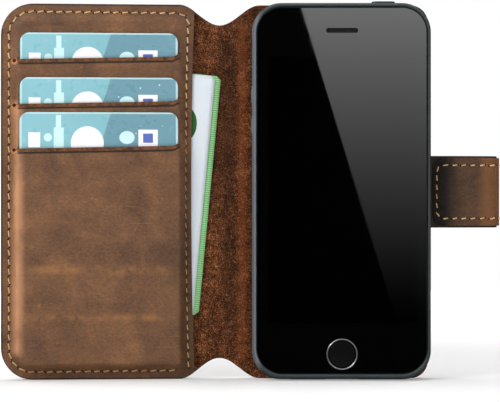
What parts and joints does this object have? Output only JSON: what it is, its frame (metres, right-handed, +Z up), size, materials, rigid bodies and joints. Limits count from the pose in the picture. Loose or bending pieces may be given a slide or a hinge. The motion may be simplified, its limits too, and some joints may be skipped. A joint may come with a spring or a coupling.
{
  "type": "phone wallet case",
  "caption": "Leather folio phone case with a slit card pocket panel, banknote compartment, clip-in phone shell and folding magnetic strap, standing open.",
  "frame": {"origin": "centre of the base of the standing case's box", "axes": "+X from the pocket cover to the phone, +Z up, -Y the side that shows the pockets and the phone's screen"},
  "size_m": [0.1732, 0.0262, 0.1299],
  "materials": {
    "leather": "waxed pull-up leather with scuffs",
    "suede": "suede, nap side out",
    "lining": "thin woven lining",
    "adhesive": "double-sided film",
    "shell": "flexible moulded plastic, satin",
    "phone_body": "smooth dark",
    "screen": "polished cover glass over a dark screen",
    "bright_metal": "polished ring",
    "dark_steel": "plain",
    "card": "printed laminate",
    "note_paper": "banknote paper",
    "green_paper": "banknote paper",
    "thread": "waxed thread"
  },
  "bodies": {
    "back": {"back_leather": "leather", "shell_adhesive": "adhesive", "phone_shell": "shell", "strap_base_leather": "leather", "strap_base_thread": "thread", "strap_base_lining": "leather"},
    "spine": {"spine_leather": "suede"},
    "cover": {"cover_leather": "leather", "cover_lining": "lining", "cover_magnet_plate": "dark_steel", "pocket_panel": "leather", "card_liner_1": "lining", "card_liner_2": "lining", "card_liner_3": "lining", "pocket_seam_thread": "thread", "pocket_edge_thread": "thread", "cover_seam_thread": "thread"},
    "card_1": {"card_1": "card"},
    "card_2": {"card_2": "card"},
    "card_3": {"card_3": "card"},
    "white_note": {"white_note": "note_paper"},
    "green_note": {"green_note": "green_paper"},
    "strap_side": {"strap_side_leather": "leather", "strap_side_lining": "leather", "strap_side_thread": "thread"},
    "strap_bend": {"strap_bend_leather": "leather", "strap_bend_lining": "leather"},
    "strap_tip": {"strap_tip_leather": "leather", "strap_tip_lining": "leather", "strap_magnet": "dark_steel"},
    "phone": {"phone_housing": "phone_body", "front_glass": "screen", "home_ring": "bright_metal", "earpiece_mesh": "dark_steel", "camera_lens": "screen", "camera_flash": "phone_body"},
    "home_button": {"home_button": "phone_body"},
    "power_button": {"power_pad": "shell"},
    "volume_up": {"volume_up_pad": "shell"},
    "volume_down": {"volume_down_pad": "shell"}
  },
  "joints": [
    {"name": "spine_fold", "type": "hinge", "parent": "back", "child": "spine", "pos_m": [-0.00149, -0.00099, 0.0646], "axis": [0, 0, -1], "range_deg": [-88, 88], "deforming": ["white_note", "green_note"]},
    {"name": "cover_fold", "type": "hinge", "parent": "spine", "child": "cover", "pos_m": [-0.01938, -0.00161, 0.0646], "axis": [0, 0, -1], "range_deg": [-88, 88]},
    {"name": "strap_side_fold", "type": "hinge", "parent": "back", "child": "strap_side", "pos_m": [0.06781, 0.00036, 0.0646], "axis": [0, 0, 1], "range_deg": [-90, 28]},
    {"name": "strap_bend_fold", "type": "hinge", "parent": "strap_side", "child": "strap_bend", "pos_m": [0.08497, 0.00385, 0.0646], "axis": [0, 0, 1], "range_deg": [-130, 0]},
    {"name": "strap_tip_fold", "type": "hinge", "parent": "strap_bend", "child": "strap_tip", "pos_m": [0.08433, 0.01124, 0.0646], "axis": [0, 0, 1], "range_deg": [-130, 0]},
    {"name": "card_1_slide", "type": "slide", "parent": "cover", "child": "card_1", "axis": [0, 0, 1], "range_m": [0, 0.065]},
    {"name": "card_2_slide", "type": "slide", "parent": "cover", "child": "card_2", "axis": [0, 0, 1], "range_m": [0, 0.065]},
    {"name": "card_3_slide", "type": "slide", "parent": "cover", "child": "card_3", "axis": [0, 0, 1], "range_m": [0, 0.065]},
    {"name": "white_note_slide", "type": "slide", "parent": "cover", "child": "white_note", "axis": [0.9931, 0.0694, -0.0941], "range_m": [-0.011, 0.004]},
    {"name": "green_note_slide", "type": "slide", "parent": "cover", "child": "green_note", "axis": [0.9931, 0.0694, -0.0941], "range_m": [-0.011, 0.004]},
    {"name": "phone_lift", "type": "slide", "parent": "back", "child": "phone", "axis": [0, -1, 0], "range_m": [0, 0.014]},
    {"name": "home_press", "type": "slide", "parent": "phone", "child": "home_button", "axis": [0, 1, 0], "range_m": [0, 0.0003], "stiffness_N_per_m": 500},
    {"name": "power_press", "type": "slide", "parent": "back", "child": "power_button", "axis": [0, 0, -1], "range_m": [0, 0.0003], "stiffness_N_per_m": 500},
    {"name": "volume_up_press", "type": "slide", "parent": "back", "child": "volume_up", "axis": [1, 0, 0], "range_m": [0, 0.0004], "stiffness_N_per_m": 500},
    {"name": "volume_down_press", "type": "slide", "parent": "back", "child": "volume_down", "axis": [1, 0, 0], "range_m": [0, 0.0004], "stiffness_N_per_m": 500}
  ],
  "couplings": [
    {"joint": "cover_fold", "follows": "spine_fold", "ratio": 1},
    {"joint": "strap_tip_fold", "follows": "strap_bend_fold", "ratio": 1}
  ]
}
